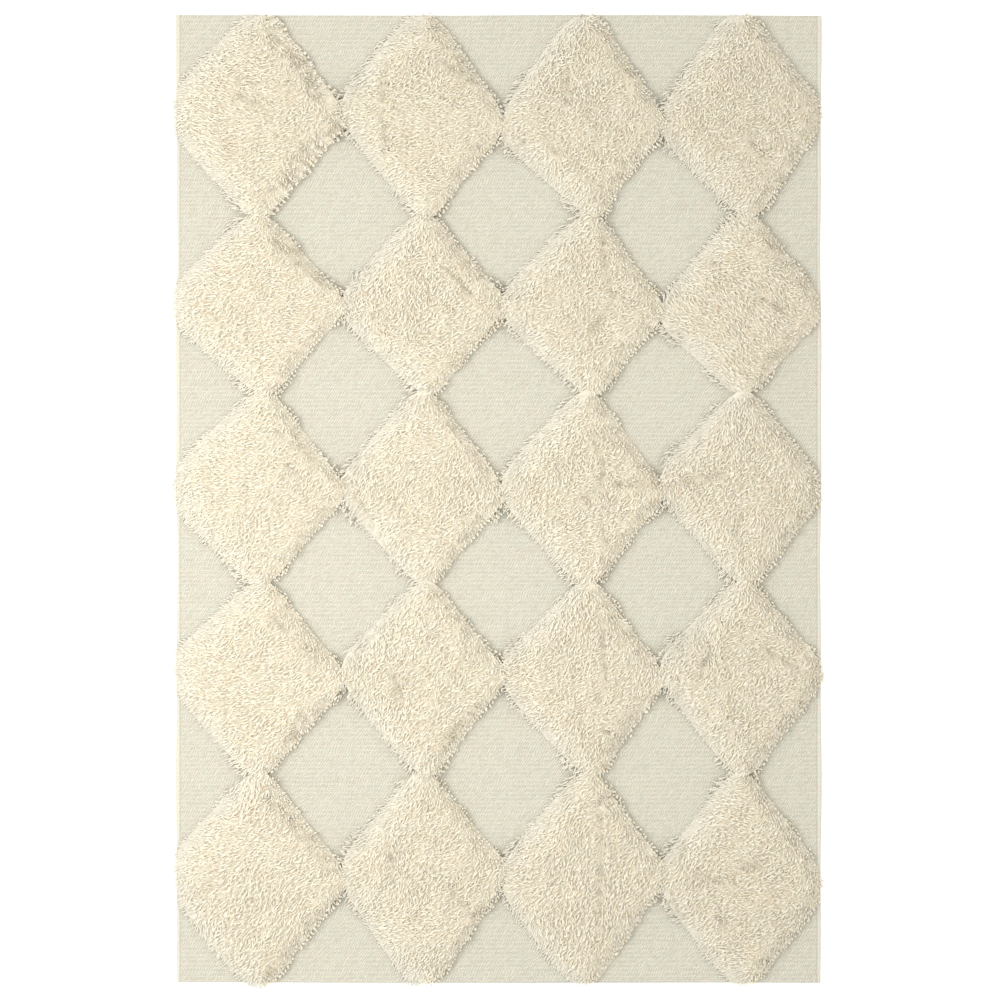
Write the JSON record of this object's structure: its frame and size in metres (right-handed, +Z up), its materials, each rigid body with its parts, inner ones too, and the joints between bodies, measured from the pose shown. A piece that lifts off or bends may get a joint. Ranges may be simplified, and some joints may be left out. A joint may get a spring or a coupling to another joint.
{
  "type": "rya rug",
  "caption": "Flat-woven wool rug lying flat, with a lattice of raised long-haired shag diamonds that nearly touch at their corners.",
  "frame": {"origin": "middle of the underside of the woven ground, on the floor", "axes": "+Z up from the floor, +Y along the length, +X across the width"},
  "size_m": [1.6203, 2.4229, 0.0405],
  "materials": {
    "wool_ground": "flat-woven undyed off-white wool with horizontal weft ribs, matt",
    "wool_pile": "long cut wool yarns in warm cream, tan between the locks, matt with a soft sheen"
  },
  "bodies": {
    "root": {"ground_weave": "wool_ground", "pile_r1_c1": "wool_pile", "pile_r1_c2": "wool_pile", "pile_r1_c3": "wool_pile", "pile_r1_c4": "wool_pile", "pile_r2_c1": "wool_pile", "pile_r2_c2": "wool_pile", "pile_r2_c3": "wool_pile", "pile_r2_c4": "wool_pile", "pile_r3_c1": "wool_pile", "pile_r3_c2": "wool_pile", "pile_r3_c3": "wool_pile", "pile_r3_c4": "wool_pile", "pile_r4_c1": "wool_pile", "pile_r4_c2": "wool_pile", "pile_r4_c3": "wool_pile", "pile_r4_c4": "wool_pile", "pile_r5_c1": "wool_pile", "pile_r5_c2": "wool_pile", "pile_r5_c3": "wool_pile", "pile_r5_c4": "wool_pile"}
  },
  "joints": []
}
